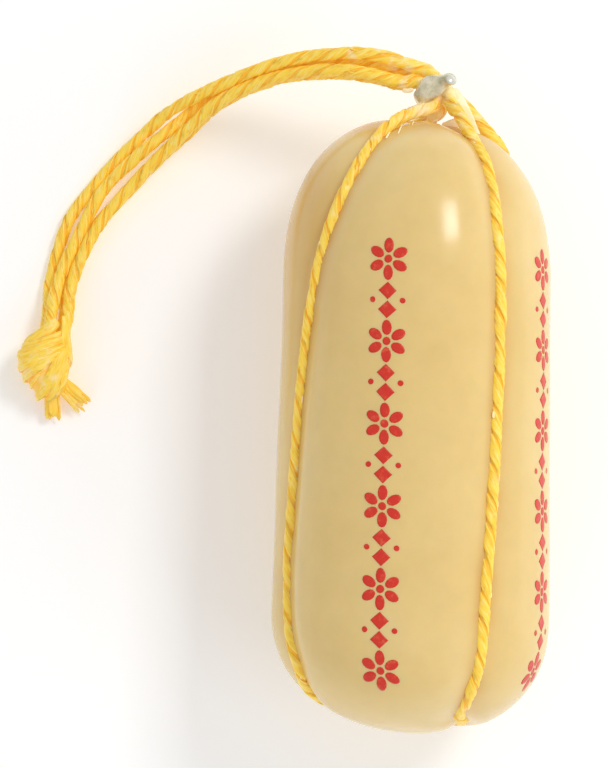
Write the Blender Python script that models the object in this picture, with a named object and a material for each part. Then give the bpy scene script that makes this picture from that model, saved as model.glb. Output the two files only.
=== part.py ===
"""A small provolone, lying on its side.

The cheese is one waxed body with four lobes. Two lengths of twine cross under its bottom
end and press four channels into it. Their four legs leave the top end, turn into one bent
metal clip, and go on as a loose tail that ends in a knot.

+Y runs along the cheese towards the clip and +Z is up. The origin is the middle of the
flat strip that the cheese rests on.
"""

import math

import bmesh
import bpy
from mathutils import Matrix, Vector

MM = 0.001
GAP = 0.3 * MM  # clearance kept between neighbouring pieces

# Cheese: crown radius halfway along, how much it narrows towards the clip, and its two
# rounded ends, each a superellipse from where the straight side ends to the tip.
CROWN_RADIUS = 33.95 * MM
TAPER = 0.0174
TOP_SHOULDER, TOP_TIP, TOP_FULLNESS = 36 * MM, 76.9 * MM, 2.43
BOTTOM_SHOULDER, BOTTOM_TIP, BOTTOM_FULLNESS = -46.7 * MM, -77.2 * MM, 2.2
LEAN = 0.03  # its ends are askew: the left side lies this much further along
CROSSING_OFF = (1 * MM, -11 * MM)  # the strings cross right of and below the middle of the bottom
REST_FLAT = 0.35 * MM  # depth of the flat strip under the cheese

# Valleys between the lobes, at the strings.
VALLEY_DEPTH = 1.3 * MM
VALLEY_WIDTH = 5.5 * MM
LOBE_CROWN = 0.8 * MM  # how far a lobe stands above the valley's shoulders
BOTTOM_DIMPLE, BOTTOM_REACH = 3.8 * MM, 30 * MM  # deeper towards the tips
TOP_DIMPLE, TOP_REACH = 0.4 * MM, 20 * MM

# Twine.
TWINE_RADIUS = 1.5 * MM
TWINE_RISE = 0.2 * MM  # height of its middle over the valley's floor
CROSSING_SINK = 2.0 * MM  # how far the lower string dips at the crossing
CROSSING_CLIMB = 2.0 * MM  # and how far the upper one climbs
CROSSING_REACH = 4.7 * MM

# Direction of each string round the cheese, in degrees from straight up, clockwise as
# seen from the bottom end towards the clip: (place along Y in mm, angle).
STRING_ANGLES = {
    "left_front": (
        (-78, -90), (-72, -90), (-68.5, -79), (-62, -67), (-54, -65), (-44, -67), (-30, -68), (-10, -65),
        (5, -62.5), (20, -59), (36, -52.5), (50, -45), (60, -40), (68, -37), (78, -34),
    ),
    "right_front": (
        (-78, 70), (-76, 74), (-72.6, 38), (-67.5, 31), (-58, 30), (-45, 30.5), (-20, 34), (5, 36.5),
        (30, 38), (50, 37), (60, 38.5), (66, 41), (72, 46), (78, 52),
    ),
    "right_back": (
        (-78, 136), (-60, 133), (-40, 131), (0, 128), (40, 118), (52, 111), (60, 104), (67, 96), (78, 86),
    ),
    "left_back": ((-78, 213), (-40, 212), (0, 217), (40, 220), (60, 222), (78, 226)),
}
LEGS = tuple(STRING_ANGLES)

# Clip: a bent wire round the four legs. Its axis is the way that the legs pass through it.
CLIP_MIDDLE = Vector((3.0, 84.9, 33.8)) * MM
CLIP_TURN = math.radians(137)
CLIP_AXIS = Vector((math.cos(CLIP_TURN), math.sin(CLIP_TURN), 0))
CLIP_SIDE = Vector((math.sin(CLIP_TURN), -math.cos(CLIP_TURN), 0))
CLIP_THICKNESS = 2.2 * MM
CLIP_STRAIGHT = 2.2 * MM  # the legs are straight this far each way from its middle
LEG_SPACING = 3.3 * MM

# The wire from the end of its stub to its tucked end, in mm: (share of the way, width
# along the legs, thickness, shift along the legs). The stub is round and the rest flat.
CLIP_WIRE = (
    (0, 2.8, 2.8, -2.4), (0.06, 3.0, 2.8, -1.5), (0.12, 5.2, 2.4, -0.2), (0.18, 6.0, 2.2, 0),
    (0.26, 4.4, 2.2, 0.2), (0.35, 3.6, 2.2, 0.4), (0.7, 3.6, 2.2, -0.8), (1, 2.8, 2.2, -1.9),
)
CLIP_STUB = ((3.9, 6.4), (3.2, 5.3), (2.0, 4.7))  # (towards CLIP_SIDE, up), in mm

# Where each leg leaves the cheese (radius), the points that it then passes, in mm, and
# its place in the clip: (towards CLIP_SIDE, up).
LEG_EXITS = {
    "left_front": (
        19,
        ((-9.1, 72.8, 46.0), (-6.4, 75.2, 43.4), (-3.9, 76.9, 41.2), (-1.4, 78.0, 39.2), (1.1, 78.8, 37.3),
         (3.3, 80.2, 35.7)),
        (-1, 1),
    ),
    "right_front": (18, ((10.6, 74.9, 42.6), (9.4, 77.4, 40.0), (8.1, 79.9, 37.8), (7.4, 82.4, 36.3)), (1, 1)),
    "right_back": (
        24,
        ((19.9, 69.8, 34.6), (18.1, 72.1, 34.4), (16.2, 74.4, 34.0), (14.2, 76.7, 33.6), (12.2, 79.0, 33.0),
         (9.0, 81.8, 32.4)),
        (1, -1),
    ),
    "left_back": (8, ((-1.4, 75.2, 29.2), (2.2, 77.0, 30.6), (3.9, 79.4, 31.6)), (-1, -1)),
}

# Tail: the middle of the bundle, in mm, and each strand's place in it: (sideways, up).
# Sideways is towards the outside of the tail's curve.
TAIL_ROUTE = (
    ((-4.4, 87.7, 33.8), (2.6, 1.6), (2.4, -1.9), (-2.0, 1.6), (-2.2, -1.8)),
    ((-11.5, 89.7, 33.4), (2.6, 1.5), (1.5, -2.1), (-2.5, 1.6), (-3.1, -1.9)),
    ((-20.4, 90.6, 30.8), (2.3, 1.4), (0.9, -2.2), (-1.9, 1.8), (-2.5, -1.8)),
    ((-35.5, 89.1, 23.6), (1.7, 1.9), (1.6, -1.9), (-1.7, 1.9), (-1.8, -1.9)),
    ((-50.8, 83.5, 15.6), (1.8, 1.9), (1.5, -2.0), (-1.7, 1.9), (-2.0, -1.9)),
    ((-61.1, 76.8, 10.2), (3.4, 0.8), (0.0, -1.3), (-3.1, 1.7), (-3.5, -2.3)),
    ((-68.8, 69.8, 6.6), (3.9, -1.0), (0.5, 1.7), (-3.4, 1.6), (-3.4, -2.0)),
    ((-79.4, 58.9, 3.6), (3.8, -1.7), (1.1, 0.5), (-3.7, 1.7), (-3.6, -1.9)),
    ((-86.4, 48.6, 3.3), (4.0, -1.7), (-0.1, 1.0), (-3.5, 1.7), (-2.4, -1.7)),
    ((-91.1, 35.4, 3.3), (2.9, -1.6), (0.6, 1.4), (-2.9, 1.6), (-1.2, -1.7)),
    ((-92.0, 25.2, 5.4), (2.7, -1.6), (1.5, 2.0), (-2.8, 1.6), (-1.7, -1.7)),
)
TAIL_PLACES = ((1, 1), (1, -1), (-1, 1), (-1, -1))  # in the clip, as in LEG_EXITS
TAIL_START = 1.0 * MM  # straight on from the clip
TAIL_STEP = 7.5 * MM
TAIL_CLOSE = (0, 1.4 * MM, 3.0 * MM, 5.2 * MM, 8.6 * MM)  # closer points where it bends most

# Knot: its outline at places down the tail, in mm: (Y, left X, right X, top Z). It lies
# on the table. Its two frayed ends each go from one point to the other.
KNOT_OUTLINE = (
    (4.6, -96.0, -90.4, 6.2), (6.4, -98.0, -89.0, 9.0), (8.8, -99.8, -88.2, 11.6), (12.0, -101.4, -88.1, 12.9),
    (15.0, -102.0, -88.0, 13.0), (18.2, -100.7, -87.9, 12.4), (21.6, -98.2, -87.7, 10.8), (24.5, -96.7, -87.6, 9.0),
)
KNOT_ENDS = (((-93.4, 7.5, 4.4), (-93.0, -0.6, 2.5)), ((-91.2, 7.6, 4.6), (-84.9, 2.7, 2.5)))
TUFT_RADII = (1.9 * MM, 2.2 * MM)
TUFT_FLATNESS = 0.7


def clear_scene():
    for found in list(bpy.data.objects):
        bpy.data.objects.remove(found, do_unlink=True)


def material(name, colour, roughness, metallic=0.0):
    made = bpy.data.materials.new(name)
    made.use_nodes = True
    shader = made.node_tree.nodes["Principled BSDF"]
    shader.inputs["Base Color"].default_value = (*colour, 1)
    shader.inputs["Roughness"].default_value = roughness
    shader.inputs["Metallic"].default_value = metallic
    return made


def show(name, data, finish=None):
    """Links a new object with this mesh or curve and its material."""
    made = bpy.data.objects.new(name, data)
    bpy.context.scene.collection.objects.link(made)
    if finish:
        data.materials.append(finish)
    return made


def helper(name, data):
    """A cutter or a piece to be joined, which isn't a node."""
    made = show(name, data)
    made.hide_render = True
    made.display_type = "WIRE"
    return made


def through(pairs, x):
    """A smooth curve through (x, y) pairs, level beyond its ends."""
    x = min(max(x, pairs[0][0]), pairs[-1][0])
    last = len(pairs) - 2
    k = next((i for i in range(last) if x <= pairs[i + 1][0]), last)
    slopes = []
    for i in (k, k + 1):
        a, b = pairs[max(i - 1, 0)], pairs[min(i + 1, last + 1)]
        slopes.append((b[1] - a[1]) / (b[0] - a[0]))
    (x0, y0), (x1, y1) = pairs[k], pairs[k + 1]
    width = x1 - x0
    t = (x - x0) / width
    rise = (2 * t**3 - 3 * t**2 + 1) * y0 + (3 * t**2 - 2 * t**3) * y1
    return rise + width * ((t**3 - 2 * t**2 + t) * slopes[0] + (t**3 - t**2) * slopes[1])


def route(points, step, close=(0,)):
    """Points on one smooth curve through the given points: first at the close distances
    from its start, then about a step apart."""
    reach = [0.0]
    for a, b in zip(points, points[1:]):
        reach.append(reach[-1] + (b - a).length)
    left = reach[-1] - close[-1]
    count = max(2, round(left / step))
    stops = [*close] + [close[-1] + left * (i + 1) / count for i in range(count)]
    axes = [[(s, p[axis]) for s, p in zip(reach, points)] for axis in range(3)]
    return [Vector([through(a, stop) for a in axes]) for stop in stops]


def crown(y):
    return CROWN_RADIUS - TAPER * y


def meridian(along):
    """(y, radius) at this share of the way from the bottom tip to the top tip, before
    the valleys are pressed in. The ends take a third of the way each."""
    if along < 1 / 3:
        turn = math.pi / 2 * (1 - 3 * along)
        shoulder, tip, fullness = BOTTOM_SHOULDER, BOTTOM_TIP, BOTTOM_FULLNESS
    elif along > 2 / 3:
        turn = math.pi / 2 * (3 * along - 2)
        shoulder, tip, fullness = TOP_SHOULDER, TOP_TIP, TOP_FULLNESS
    else:
        y = BOTTOM_SHOULDER + (TOP_SHOULDER - BOTTOM_SHOULDER) * (3 * along - 1)
        return y, crown(y)
    y = shoulder + (tip - shoulder) * math.sin(turn) ** (2 / fullness)
    return y, crown(y) * max(math.cos(turn), 0) ** (2 / fullness)


def outward(along):
    """The meridian's outward direction, as (y, radius)."""
    small = 0.002
    y0, r0 = meridian(max(along - small, 0))
    y1, r1 = meridian(min(along + small, 1))
    if min(along, 1 - along) < small:
        return math.copysign(1, along - 0.5), 0.0
    length = math.hypot(y1 - y0, r1 - r0)
    return -(r1 - r0) / length, (y1 - y0) / length


def string_angle(leg, y):
    return math.radians(through(STRING_ANGLES[leg], y / MM))


def valley(angle, along):
    """How far the surface is pressed in."""
    y, radius = meridian(along)
    dimple, reach = (BOTTOM_DIMPLE, BOTTOM_REACH) if y < 0 else (TOP_DIMPLE, TOP_REACH)
    depth = VALLEY_DEPTH + dimple * max(0, 1 - radius / reach) ** 2
    offs = [angle - string_angle(leg, y) for leg in LEGS]
    before = min(off % math.tau for off in offs)
    after = min(-off % math.tau for off in offs)
    near = min(before, after)
    shoulder = abs(2 * before / (before + after) - 1) ** 2.5 if near > 0 else 1
    fade = min(1, radius / TOP_REACH)
    return depth * math.exp(-((radius * near / VALLEY_WIDTH) ** 2)) + LOBE_CROWN * shoulder * fade


def surface(angle, along, rise=0.0):
    """A point of the cheese, or this far above it."""
    y, radius = meridian(along)
    out_y, out_radius = outward(along)
    rise -= valley(angle, along)
    off = max(0, 1 - radius / crown(y)) ** 1.3 if y < 0 else 0
    y, radius = y + rise * out_y, radius + rise * out_radius
    x = CROSSING_OFF[0] * off + radius * math.sin(angle)
    z = CROSSING_OFF[1] * off + radius * math.cos(angle) + crown(y) - REST_FLAT
    return Vector((x, y - LEAN * x, z))


def leg_at(leg, along, crossing):
    """A point of a string's middle on the cheese. crossing is what it adds at the tip."""
    y, radius = meridian(along)
    near_tip = math.exp(-((radius / CROSSING_REACH) ** 2)) if y < 0 else 0
    return surface(string_angle(leg, y), along, TWINE_RISE + crossing * near_tip)


def leg_points(leg, crossing):
    """(on the cheese, off it): a leg's points from near the bottom tip to the clip."""
    leaves, off, (side, up) = LEG_EXITS[leg]
    on = []
    along = 0.012
    while meridian(along)[0] < 0 or meridian(along)[1] > leaves * MM:
        on.append(leg_at(leg, along, crossing))
        straight = 1 / 3 < along < 2 / 3
        along += 0.04 if straight else 0.026
    place = CLIP_MIDDLE + LEG_SPACING / 2 * (side * CLIP_SIDE + up * Vector((0, 0, 1)))
    way_in = place - CLIP_STRAIGHT * CLIP_AXIS
    way_out = place + CLIP_STRAIGHT * CLIP_AXIS
    bend = [on[-2], on[-1]] + [Vector(p) * MM for p in off] + [way_in]
    bend = route(bend, 1.8 * MM)
    return on[:-2], bend + [place, way_out]


def tube(name, points, radius):
    """A round tube with closed ends, as a curve."""
    data = bpy.data.curves.new(name, "CURVE")
    data.dimensions = "3D"
    data.bevel_depth = radius
    data.bevel_resolution = 2
    data.use_fill_caps = True
    spline = data.splines.new("POLY")
    spline.points.add(len(points) - 1)
    for place, point in zip(spline.points, points):
        place.co = (*point, 1)
    spline.use_smooth = True
    return data


def tube_mesh(name, points, radius):
    """The same tube as a mesh, for a cutter."""
    drawn = bpy.data.objects.new(name, tube(name, points, radius))
    made = bpy.data.meshes.new_from_object(drawn)
    bpy.data.objects.remove(drawn)
    return made


def boolean(on, other, operation):
    cut = on.modifiers.new(other.name, "BOOLEAN")
    cut.object = other
    cut.operation = operation


def make_strings():
    """Each string goes down one valley, under the bottom tip and up the opposite one."""
    twine = material("yellow_twine", (0.90, 0.52, 0.07), 0.45)
    channels = []
    for name, legs, crossing in (
        ("string_a", ("left_front", "right_back"), CROSSING_CLIMB),
        ("string_b", ("right_front", "left_back"), -CROSSING_SINK),
    ):
        (on_1, off_1), (on_2, off_2) = (leg_points(leg, crossing) for leg in legs)
        tip = leg_at(legs[0], 0, crossing)
        under = on_1[::-1] + [tip] + on_2
        show(name, tube(name, off_1[::-1] + under + off_2, TWINE_RADIUS), twine)
        pressed = off_1[12::-1] + under + off_2[:13]
        channels.append(helper(name + "_channel", tube_mesh(name, pressed, TWINE_RADIUS + GAP)))
    return channels


def make_cheese(channels):
    """One round body whose columns of faces follow the strings, so that each valley has a
    clean floor. The channels and the flat strip are then cut from it."""
    body = bmesh.new()
    bmesh.ops.create_uvsphere(body, u_segments=48, v_segments=29, radius=1)
    for vert in body.verts:
        along = 1 - math.acos(max(-1, min(1, vert.co.z))) / math.pi
        turn = math.atan2(vert.co.y, vert.co.x) % math.tau / math.tau * 4
        lobe = int(turn + 1e-4) % 4
        share = max(turn - lobe, 0) if turn - lobe < 3 else 0
        share -= 0.55 * math.sin(math.tau * share) / math.tau
        y = meridian(along)[0]
        start = string_angle(LEGS[lobe], y)
        end = string_angle(LEGS[(lobe + 1) % 4], y)
        angle = start + (end - start) % math.tau * share
        vert.co = surface(angle, along)
    bmesh.ops.recalc_face_normals(body, faces=body.faces)
    mesh = bpy.data.meshes.new("cheese")
    body.to_mesh(mesh)
    body.free()
    cheese = show("cheese", mesh, material("waxed_rind", (0.84, 0.66, 0.30), 0.32))
    for channel in channels:
        boolean(cheese, channel, "DIFFERENCE")
    block = bmesh.new()
    bmesh.ops.create_cube(block, size=0.2, matrix=Matrix.Translation((0, 0, -0.1)))
    mesh = bpy.data.meshes.new("floor_cutter")
    block.to_mesh(mesh)
    block.free()
    boolean(cheese, helper("floor_cutter", mesh), "DIFFERENCE")


def make_clip():
    """A wire pressed flat round the legs. One end is tucked in beside them, and the other
    stands out, still round, as a short stub."""
    inner = LEG_SPACING / 2 + TWINE_RADIUS + GAP + CLIP_THICKNESS / 2
    corner = 0.6 * inner
    turns = 5
    path = [(side * MM, up * MM) for side, up in CLIP_STUB] + [(0.2 * inner, inner)]
    for side, up in ((-1, 1), (-1, -1), (1, -1)):
        for i in range(turns + 1):
            angle = math.pi / 2 * i / turns + math.atan2(up, side) - math.pi / 4
            radius = inner - corner
            path.append((side * corner + radius * math.cos(angle), up * corner + radius * math.sin(angle)))
    path.append((inner, inner * 0.2))
    reach = [0.0]
    for (side_1, up_1), (side_2, up_2) in zip(path, path[1:]):
        reach.append(reach[-1] + math.hypot(side_2 - side_1, up_2 - up_1))
    body = bmesh.new()
    rings = []
    sides = 10
    for i, (side, up) in enumerate(path):
        before, after = path[max(i - 1, 0)], path[min(i + 1, len(path) - 1)]
        way = Vector((after[0] - before[0], after[1] - before[1])).normalized()
        share = reach[i] / reach[-1]
        width, thickness, shift = (through([(row[0], row[k]) for row in CLIP_WIRE], share) * MM for k in (1, 2, 3))
        ring = []
        for k in range(sides):
            turn = math.tau * k / sides
            out = thickness / 2 * math.sin(turn)
            flat = side - way.y * out, up + way.x * out
            place = CLIP_MIDDLE + CLIP_AXIS * (shift + width / 2 * math.cos(turn))
            place = place + CLIP_SIDE * flat[0] + Vector((0, 0, 1)) * flat[1]
            ring.append(body.verts.new(place))
        rings.append(ring)
    for ring, following in zip(rings, rings[1:]):
        for k in range(sides):
            nearby = (k + 1) % sides
            body.faces.new((ring[k], ring[nearby], following[nearby], following[k]))
    body.faces.new(rings[0][::-1])
    body.faces.new(rings[-1])
    bmesh.ops.recalc_face_normals(body, faces=body.faces)
    mesh = bpy.data.meshes.new("clip")
    body.to_mesh(mesh)
    body.free()
    mesh.shade_smooth()
    mesh.set_sharp_from_angle(angle=math.radians(40))
    show("clip", mesh, material("waxed_metal", (0.62, 0.64, 0.55), 0.35, 0.6))


def make_tail():
    """Four strands from the clip to the knot."""
    twine = material("yellow_tail", (0.94, 0.58, 0.10), 0.45)
    first = CLIP_MIDDLE + (CLIP_STRAIGHT + GAP) * CLIP_AXIS
    middles = [first] + [Vector(station[0]) * MM for station in TAIL_ROUTE]
    for number in range(4):
        side, up = TAIL_PLACES[number]
        start = first + LEG_SPACING / 2 * (side * CLIP_SIDE + up * Vector((0, 0, 1)))
        points = [start, start + TAIL_START * CLIP_AXIS]
        for k, station in enumerate(TAIL_ROUTE):
            way = middles[min(k + 2, len(middles) - 1)] - middles[k]
            side = Vector((way.y, -way.x, 0)).normalized()
            sideways, up = station[number + 1]
            points.append(middles[k + 1] + side * sideways * MM + Vector((0, 0, up * MM)))
        name = f"tail_{number + 1}"
        show(name, tube(name, route(points, TAIL_STEP, TAIL_CLOSE), TWINE_RADIUS), twine)


def make_knot():
    """A lump of diagonal wraps, with two frayed ends that leave it below."""
    lump = bmesh.new()
    bmesh.ops.create_uvsphere(lump, u_segments=16, v_segments=12, radius=1)
    first, last = KNOT_OUTLINE[0][0], KNOT_OUTLINE[-1][0]
    for vert in lump.verts:
        pole, turn = math.acos(max(-1, min(1, vert.co.z))), math.atan2(vert.co.y, vert.co.x)
        y = first + (last - first) * (1 - pole / math.pi)
        left, right, top = (through([(row[0], row[k]) for row in KNOT_OUTLINE], y) for k in (1, 2, 3))
        size = min(1, math.sin(pole) * 4)
        across, up = (math.copysign(abs(c) ** 0.85, c) * size for c in (math.cos(turn), math.sin(turn)))
        x = (left + right) / 2 + (right - left) / 2 * across
        vert.co = Vector((x, y, top / 2 * (1 + up))) * MM
    bmesh.ops.recalc_face_normals(lump, faces=lump.faces)
    mesh = bpy.data.meshes.new("knot")
    lump.to_mesh(mesh)
    lump.free()
    knot = show("knot", mesh, material("yellow_knot", (0.94, 0.60, 0.12), 0.5))
    for number, (start, end) in enumerate(KNOT_ENDS):
        start, end = Vector(start) * MM, Vector(end) * MM
        tuft = bmesh.new()
        bmesh.ops.create_cone(
            tuft,
            cap_ends=True,
            segments=10,
            radius1=TUFT_RADII[0],
            radius2=TUFT_RADII[1],
            depth=(end - start).length,
        )
        bmesh.ops.scale(tuft, verts=tuft.verts, vec=(1.1, TUFT_FLATNESS, 1))
        turn = (end - start).to_track_quat("Z", "Y").to_matrix().to_4x4()
        bmesh.ops.transform(tuft, verts=tuft.verts, matrix=Matrix.Translation((start + end) / 2) @ turn)
        mesh = bpy.data.meshes.new(f"frayed_end_{number + 1}")
        tuft.to_mesh(mesh)
        tuft.free()
        boolean(knot, helper(mesh.name, mesh), "UNION")


clear_scene()
make_cheese(make_strings())
make_clip()
make_tail()
make_knot()
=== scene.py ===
"""A small provolone, lying on its side, with its twine, clip, tail and knot.

The frame's +Y runs along the cheese towards the clip and +Z is up. The origin is the
middle of the flat strip that the cheese rests on. Every length is in metres.
"""

from functools import lru_cache
from math import acos, asin, atan2, copysign, cos, exp, hypot, pi, radians, sin, tau

import bmesh
import bpy
from mathutils import Matrix, Vector, noise


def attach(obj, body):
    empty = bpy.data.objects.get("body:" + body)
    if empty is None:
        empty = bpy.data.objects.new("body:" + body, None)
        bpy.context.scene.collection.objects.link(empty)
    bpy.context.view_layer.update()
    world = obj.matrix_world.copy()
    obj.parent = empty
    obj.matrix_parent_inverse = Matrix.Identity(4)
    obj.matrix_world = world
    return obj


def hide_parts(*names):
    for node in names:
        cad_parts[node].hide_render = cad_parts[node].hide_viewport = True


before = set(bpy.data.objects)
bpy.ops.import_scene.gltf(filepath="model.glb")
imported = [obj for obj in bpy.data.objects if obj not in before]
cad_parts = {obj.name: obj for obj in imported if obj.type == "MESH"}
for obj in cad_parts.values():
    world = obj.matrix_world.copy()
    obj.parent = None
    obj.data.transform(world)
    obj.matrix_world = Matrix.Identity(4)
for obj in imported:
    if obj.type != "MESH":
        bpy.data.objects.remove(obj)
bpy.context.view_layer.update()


# ------------------
# The cheese: one body of stretched curd under a skin of pale yellow wax. The strings have
# pressed four valleys into it, and the wax climbs a little on to them. It lies on a small
# flat strip where its own weight has pressed it.

MM = 0.001
CROWN_RADIUS = 33.95 * MM
TAPER = 0.0174  # narrows towards the clip
TOP_SHOULDER, TOP_TIP, TOP_FULLNESS = 36 * MM, 76.9 * MM, 2.43
BOTTOM_SHOULDER, BOTTOM_TIP, BOTTOM_FULLNESS = -46.7 * MM, -77.2 * MM, 2.2
LEAN = 0.03  # its ends are askew: the left side lies this much further along
POLE_STEP = 0.002  # over which the slope of the side is taken
CROSSING_OFF = (1 * MM, -11 * MM)  # the strings cross right of and below the middle of the bottom
REST_FLAT = 0.35 * MM
VALLEY_DEPTH = 1.3 * MM
VALLEY_WIDTH = 5.5 * MM
LOBE_CROWN, LOBE_SQUARE = 0.8 * MM, 2.5  # the edges of a lobe lie this much deeper than its middle
CROSSING_FADE, LIFTED_FADE = 1.3, 1.5  # away from the crossing, and where a string has left the cheese
BOTTOM_DIMPLE, BOTTOM_REACH = 3.8 * MM, 30 * MM
TOP_DIMPLE, TOP_REACH = 0.4 * MM, 20 * MM

# Direction of each string round the cheese, in degrees from straight up, clockwise as
# seen from the bottom end towards the clip: (place along Y in mm, angle).
STRING_ANGLES = {
    "left_front": (
        (-78, -90), (-72, -90), (-68.5, -79), (-62, -67), (-54, -65), (-44, -67), (-30, -68), (-10, -65),
        (5, -62.5), (20, -59), (36, -52.5), (50, -45), (60, -40), (68, -37), (78, -34),
    ),
    "right_front": (
        (-78, 70), (-76, 74), (-72.6, 38), (-67.5, 31), (-58, 30), (-45, 30.5), (-20, 34), (5, 36.5),
        (30, 38), (50, 37), (60, 38.5), (66, 41), (72, 46), (78, 52),
    ),
    "right_back": (
        (-78, 136), (-60, 133), (-40, 131), (0, 128), (40, 118), (52, 111), (60, 104), (67, 96), (78, 86),
    ),
    "left_back": ((-78, 213), (-40, 212), (0, 217), (40, 220), (60, 222), (78, 226)),
}
LEGS = tuple(STRING_ANGLES)
LEAVES = {"left_front": 19 * MM, "right_front": 18 * MM, "right_back": 24 * MM, "left_back": 8 * MM}

WAX_CLIMB = 0.75 * MM  # how high the wax would stand at the middle of a string
WAX_CLIMB_REACH = 1.9 * MM
CLIMB_WAVES = (0.75, 0.9, 7 * MM)  # the mean, the swing and the length
SLOW_WAVES, QUICK_WAVES = (0.34, 27 * MM), (0.07, 9 * MM)  # of the surface: the swing in mm, the length
QUICK_PLACE = Vector((5, 1, 3))
SHADE_REACH = 2.9 * MM  # how far the painted orange shade and twine-coloured bounce light reach beside a string
SHADE_WAVES = (0.7, 0.6, 11 * MM)
RIM_SHADE, RIM_ALONG = 0.8, (70 * MM, 76.5 * MM)  # painted orange shade all round under the clip: where it begins and is full
# Painted shade: the wax is painted darker on the left, towards the clip.
LEFT_SHADE, LEFT_SHADE_ACROSS, LEFT_SHADE_ALONG = 0.4, (-16 * MM, -28 * MM), (8 * MM, 50 * MM)
RIND_SEGMENTS = (392, 244)  # round, and from tip to tip
CROWDING = 0.62  # how much closer the columns of faces stand near a string
SEAM_SLACK = 1e-4  # a column on a string belongs to the lobe that begins there


def through(pairs, x):
    """A smooth curve through (x, y) pairs, level beyond its ends."""
    x = min(max(x, pairs[0][0]), pairs[-1][0])
    last = len(pairs) - 2
    k = next((i for i in range(last) if x <= pairs[i + 1][0]), last)
    slopes = []
    for i in (k, k + 1):
        a, b = pairs[max(i - 1, 0)], pairs[min(i + 1, last + 1)]
        slopes.append((b[1] - a[1]) / (b[0] - a[0]))
    (x0, y0), (x1, y1) = pairs[k], pairs[k + 1]
    width = x1 - x0
    t = (x - x0) / width
    rise = (2 * t**3 - 3 * t**2 + 1) * y0 + (3 * t**2 - 2 * t**3) * y1
    return rise + width * ((t**3 - 2 * t**2 + t) * slopes[0] + (t**3 - t**2) * slopes[1])


def curves(rows, x):
    """The three curves through rows of (x, value, value, value), at this x."""
    return [through([(row[0], row[k]) for row in rows], x) for k in (1, 2, 3)]


def smooth_step(low, high, x):
    """0 at low and before it, 1 at high and past it, and an even slope between them."""
    t = min(max((x - low) / (high - low), 0), 1)
    return t * t * (3 - 2 * t)


def crown(y):
    return CROWN_RADIUS - TAPER * y


def meridian(along):
    """(y, radius) at this share of the way from the bottom tip to the top tip."""
    if along < 1 / 3:
        turn = pi / 2 * (1 - 3 * along)
        shoulder, tip, fullness = BOTTOM_SHOULDER, BOTTOM_TIP, BOTTOM_FULLNESS
    elif along > 2 / 3:
        turn = pi / 2 * (3 * along - 2)
        shoulder, tip, fullness = TOP_SHOULDER, TOP_TIP, TOP_FULLNESS
    else:
        y = BOTTOM_SHOULDER + (TOP_SHOULDER - BOTTOM_SHOULDER) * (3 * along - 1)
        return y, crown(y)
    y = shoulder + (tip - shoulder) * sin(turn) ** (2 / fullness)
    return y, crown(y) * max(cos(turn), 0) ** (2 / fullness)


def along_at(y):
    """The share of the way from tip to tip at this place along Y."""
    if y < BOTTOM_SHOULDER:
        share = (y - BOTTOM_SHOULDER) / (BOTTOM_TIP - BOTTOM_SHOULDER)
        return (1 - asin(share ** (BOTTOM_FULLNESS / 2)) * 2 / pi) / 3
    if y > TOP_SHOULDER:
        share = (y - TOP_SHOULDER) / (TOP_TIP - TOP_SHOULDER)
        return (2 + asin(share ** (TOP_FULLNESS / 2)) * 2 / pi) / 3
    return (1 + (y - BOTTOM_SHOULDER) / (TOP_SHOULDER - BOTTOM_SHOULDER)) / 3


@lru_cache(maxsize=None)
def ring(along):
    """(y, radius, outward direction as (y, radius), string angles) at this share."""
    y, radius = meridian(along)
    if min(along, 1 - along) < POLE_STEP:
        outward = copysign(1, along - 0.5), 0.0
    else:
        y0, r0 = meridian(along - POLE_STEP)
        y1, r1 = meridian(along + POLE_STEP)
        length = hypot(y1 - y0, r1 - r0)
        outward = -(r1 - r0) / length, (y1 - y0) / length
    angles = [radians(through(STRING_ANGLES[leg], y / MM)) for leg in LEGS]
    return y, radius, outward, angles


def valley(angle, along):
    """How far the surface is pressed in."""
    y, radius, _, angles = ring(along)
    dimple, reach = (BOTTOM_DIMPLE, BOTTOM_REACH) if y < 0 else (TOP_DIMPLE, TOP_REACH)
    depth = VALLEY_DEPTH + dimple * max(0, 1 - radius / reach) ** 2
    before = min((angle - place) % tau for place in angles)
    after = min((place - angle) % tau for place in angles)
    near = min(before, after)
    shoulder = abs(2 * before / (before + after) - 1) ** LOBE_SQUARE if near > 0 else 1
    fade = min(1, radius / TOP_REACH)
    return depth * exp(-((radius * near / VALLEY_WIDTH) ** 2)) + LOBE_CROWN * shoulder * fade


def surface(angle, along, rise=0.0):
    """A point of the cheese, or this far above it."""
    y, radius, (out_y, out_radius), _ = ring(along)
    rise -= valley(angle, along)
    off = max(0, 1 - radius / crown(y)) ** CROSSING_FADE if y < 0 else 0
    y, radius = y + rise * out_y, radius + rise * out_radius
    x = CROSSING_OFF[0] * off + radius * sin(angle)
    z = CROSSING_OFF[1] * off + radius * cos(angle) + crown(y) - REST_FLAT
    return Vector((x, y - LEAN * x, z))


def string_distance(angle, along):
    """How far off the nearest string is, among those that still lie on the cheese here."""
    y, radius, _, angles = ring(along)
    distances = [1.0]
    for leg, place in zip(LEGS, angles):
        off = abs((angle - place + pi) % tau - pi)
        lifted = max(0, LEAVES[leg] - radius) if y > 0 else 0
        distances.append(hypot(radius * sin(min(off, pi / 2)), LIFTED_FADE * lifted))
    return min(distances)


def unevenness(place):
    """The slow waves of a cheese that was shaped and dipped by hand."""
    slow = noise.noise(place / SLOW_WAVES[1]) * SLOW_WAVES[0] * MM
    quick = noise.noise(place / QUICK_WAVES[1] + QUICK_PLACE) * QUICK_WAVES[0] * MM
    return slow + quick


def wavering(place, mean, swing, wave):
    """A value that swings round its mean, in waves of this length."""
    return mean + swing * noise.noise(place / wave)


def to_mesh(net, name):
    """The mesh of a bmesh, with its faces pointing outwards."""
    bmesh.ops.recalc_face_normals(net, faces=net.faces)
    mesh = bpy.data.meshes.new(name)
    net.to_mesh(mesh)
    net.free()
    return mesh


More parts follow.
